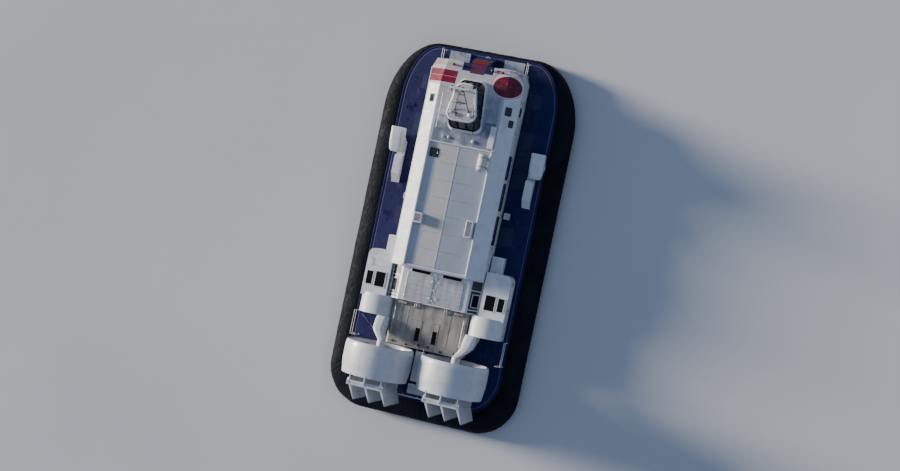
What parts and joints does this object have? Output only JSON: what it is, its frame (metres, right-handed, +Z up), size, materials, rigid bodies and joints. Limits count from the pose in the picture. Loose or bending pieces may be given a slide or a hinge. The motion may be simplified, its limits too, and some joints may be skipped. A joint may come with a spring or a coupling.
{
  "type": "passenger hovercraft",
  "caption": "Passenger hovercraft with a black skirt, a navy deck, a white cabin and pilothouse, swivelling bow thrusters and ducted propellers with rudders behind them.",
  "frame": {"origin": "on the ground, amidships on the centreline", "axes": "+Y towards the stern, +X to port, +Z up"},
  "size_m": [12.3006, 23.4006, 7.15],
  "materials": {
    "navy_paint": "satin, worn non-slip deck paint",
    "white_paint": "semi-gloss, lightly weathered",
    "grey_paint": "satin, stained by exhaust",
    "red_paint": "semi-gloss",
    "dark_metal": "matt",
    "bare_alloy": "brushed and dulled",
    "skirt_rubber": "matt coated fabric, creased",
    "tinted_glass": "dark tint",
    "seat_fabric": "woven",
    "dark_plastic": "fine grain",
    "white_plastic": "smooth"
  },
  "bodies": {
    "root": {"hull": "navy_paint", "landing_skid_port": "dark_metal", "landing_skid_starboard": "dark_metal", "skirt_bow": "skirt_rubber", "skirt_port": "skirt_rubber", "skirt_starboard": "skirt_rubber", "skirt_stern": "skirt_rubber", "cabin_front": "white_paint", "cabin_rear": "white_paint", "cabin_side_port": "white_paint", "cabin_side_starboard": "white_paint", "cabin_roof": "white_paint", "side_glass_port": "tinted_glass", "side_glass_starboard": "tinted_glass", "roof_vent_port": "white_paint", "roof_vent_starboard": "white_paint", "seats_port": "seat_fabric", "seats_starboard": "seat_fabric", "nose_fairing": "red_paint", "pilothouse_walls": "white_paint", "pilothouse_glass": "tinted_glass", "pilothouse_roof": "white_paint", "pilot_station": "dark_plastic", "mast": "white_paint", "engine_casing": "white_paint", "engine_port": "dark_metal", "engine_starboard": "dark_metal", "aft_casing": "grey_paint", "lift_housing_port": "white_paint", "lift_housing_starboard": "white_paint", "drive_fairing_port": "white_paint", "drive_fairing_starboard": "white_paint", "duct_port": "white_paint", "duct_starboard": "white_paint", "thruster_feed_port": "white_paint", "thruster_feed_starboard": "white_paint"},
    "roof_hatch": {"roof_hatch": "dark_metal"},
    "front_door_port": {"front_door_port": "white_paint"},
    "front_door_starboard": {"front_door_starboard": "white_paint"},
    "side_door_port": {"side_door_port": "white_paint"},
    "side_door_starboard": {"side_door_starboard": "white_paint"},
    "boarding_ramp_port": {"boarding_ramp_port": "bare_alloy"},
    "boarding_ramp_starboard": {"boarding_ramp_starboard": "bare_alloy"},
    "radar_scanner": {"radar_scanner": "white_plastic"},
    "engine_hatch_port": {"engine_hatch_port": "grey_paint"},
    "engine_hatch_starboard": {"engine_hatch_starboard": "grey_paint"},
    "lift_fan_port": {"lift_fan_port": "bare_alloy"},
    "lift_fan_starboard": {"lift_fan_starboard": "bare_alloy"},
    "propeller_port": {"propeller_port": "dark_plastic"},
    "propeller_starboard": {"propeller_starboard": "dark_plastic"},
    "rudder_port_1": {"rudder_port_1": "white_paint"},
    "rudder_port_2": {"rudder_port_2": "white_paint"},
    "rudder_port_3": {"rudder_port_3": "white_paint"},
    "rudder_starboard_1": {"rudder_starboard_1": "white_paint"},
    "rudder_starboard_2": {"rudder_starboard_2": "white_paint"},
    "rudder_starboard_3": {"rudder_starboard_3": "white_paint"},
    "bow_thruster_port": {"bow_thruster_port": "white_paint"},
    "bow_thruster_starboard": {"bow_thruster_starboard": "white_paint"}
  },
  "joints": [
    {"name": "roof_hatch_hinge", "type": "hinge", "parent": "root", "child": "roof_hatch", "pos_m": [1.82, -4.78, 3.5753], "axis": [0, 1, 0], "range_deg": [0, 90]},
    {"name": "front_door_port_hinge", "type": "hinge", "parent": "root", "child": "front_door_port", "pos_m": [2.25, -10.5753, 2.1], "axis": [0, 0, 1], "range_deg": [0, 100]},
    {"name": "front_door_starboard_hinge", "type": "hinge", "parent": "root", "child": "front_door_starboard", "pos_m": [-2.25, -10.5753, 2.1], "axis": [0, 0, -1], "range_deg": [0, 100]},
    {"name": "side_door_port_hinge", "type": "hinge", "parent": "root", "child": "side_door_port", "pos_m": [2.9453, -8.74, 2.1], "axis": [0, 0, -1], "range_deg": [0, 100]},
    {"name": "side_door_starboard_hinge", "type": "hinge", "parent": "root", "child": "side_door_starboard", "pos_m": [-2.9453, -8.74, 2.1], "axis": [0, 0, 1], "range_deg": [0, 100]},
    {"name": "boarding_ramp_port_hinge", "type": "hinge", "parent": "root", "child": "boarding_ramp_port", "pos_m": [1.76, -11.35, 1.2603], "axis": [1, 0, 0], "range_deg": [0, 180]},
    {"name": "boarding_ramp_starboard_hinge", "type": "hinge", "parent": "root", "child": "boarding_ramp_starboard", "pos_m": [-1.76, -11.35, 1.2603], "axis": [1, 0, 0], "range_deg": [0, 180]},
    {"name": "radar_spin", "type": "hinge", "parent": "root", "child": "radar_scanner", "pos_m": [0, -8.6, 6.3], "axis": [0, 0, 1], "continuous": true},
    {"name": "engine_hatch_port_hinge", "type": "hinge", "parent": "root", "child": "engine_hatch_port", "pos_m": [1.79, 3.5, 2.7253], "axis": [0, 1, 0], "range_deg": [0, 90]},
    {"name": "engine_hatch_starboard_hinge", "type": "hinge", "parent": "root", "child": "engine_hatch_starboard", "pos_m": [-1.79, 3.5, 2.7253], "axis": [0, -1, 0], "range_deg": [0, 90]},
    {"name": "lift_fan_port_spin", "type": "hinge", "parent": "root", "child": "lift_fan_port", "pos_m": [3.795, 5.25, 1.9], "axis": [0, 1, 0], "continuous": true},
    {"name": "lift_fan_starboard_spin", "type": "hinge", "parent": "root", "child": "lift_fan_starboard", "pos_m": [-3.795, 5.25, 1.9], "axis": [0, 1, 0], "continuous": true},
    {"name": "propeller_port_spin", "type": "hinge", "parent": "root", "child": "propeller_port", "pos_m": [2.4, 8, 3.44], "axis": [0, 1, 0], "continuous": true},
    {"name": "propeller_starboard_spin", "type": "hinge", "parent": "root", "child": "propeller_starboard", "pos_m": [-2.4, 8, 3.44], "axis": [0, 1, 0], "continuous": true},
    {"name": "steering", "type": "hinge", "parent": "root", "child": "rudder_port_2", "pos_m": [2.4, 9.85, 3.44], "axis": [0, 0, 1], "range_deg": [-55, 5]},
    {"name": "rudder_port_1_turn", "type": "hinge", "parent": "root", "child": "rudder_port_1", "pos_m": [1.4, 9.85, 3.44], "axis": [0, 0, 1], "range_deg": [-55, 5]},
    {"name": "rudder_port_3_turn", "type": "hinge", "parent": "root", "child": "rudder_port_3", "pos_m": [3.4, 9.85, 3.44], "axis": [0, 0, 1], "range_deg": [-55, 5]},
    {"name": "rudder_starboard_1_turn", "type": "hinge", "parent": "root", "child": "rudder_starboard_1", "pos_m": [-3.4, 9.85, 3.44], "axis": [0, 0, 1], "range_deg": [-55, 5]},
    {"name": "rudder_starboard_2_turn", "type": "hinge", "parent": "root", "child": "rudder_starboard_2", "pos_m": [-2.4, 9.85, 3.44], "axis": [0, 0, 1], "range_deg": [-55, 5]},
    {"name": "rudder_starboard_3_turn", "type": "hinge", "parent": "root", "child": "rudder_starboard_3", "pos_m": [-1.4, 9.85, 3.44], "axis": [0, 0, 1], "range_deg": [-55, 5]},
    {"name": "bow_thruster_port_swivel", "type": "hinge", "parent": "root", "child": "bow_thruster_port", "pos_m": [4.52, -5.2, 1.38], "axis": [0, 0, 1], "continuous": true},
    {"name": "bow_thruster_starboard_swivel", "type": "hinge", "parent": "root", "child": "bow_thruster_starboard", "pos_m": [-4.52, -5.2, 1.38], "axis": [0, 0, 1], "continuous": true}
  ],
  "couplings": [
    {"joint": "rudder_port_1_turn", "follows": "steering", "ratio": 1},
    {"joint": "rudder_port_3_turn", "follows": "steering", "ratio": 1},
    {"joint": "rudder_starboard_1_turn", "follows": "steering", "ratio": 1},
    {"joint": "rudder_starboard_2_turn", "follows": "steering", "ratio": 1},
    {"joint": "rudder_starboard_3_turn", "follows": "steering", "ratio": 1}
  ]
}
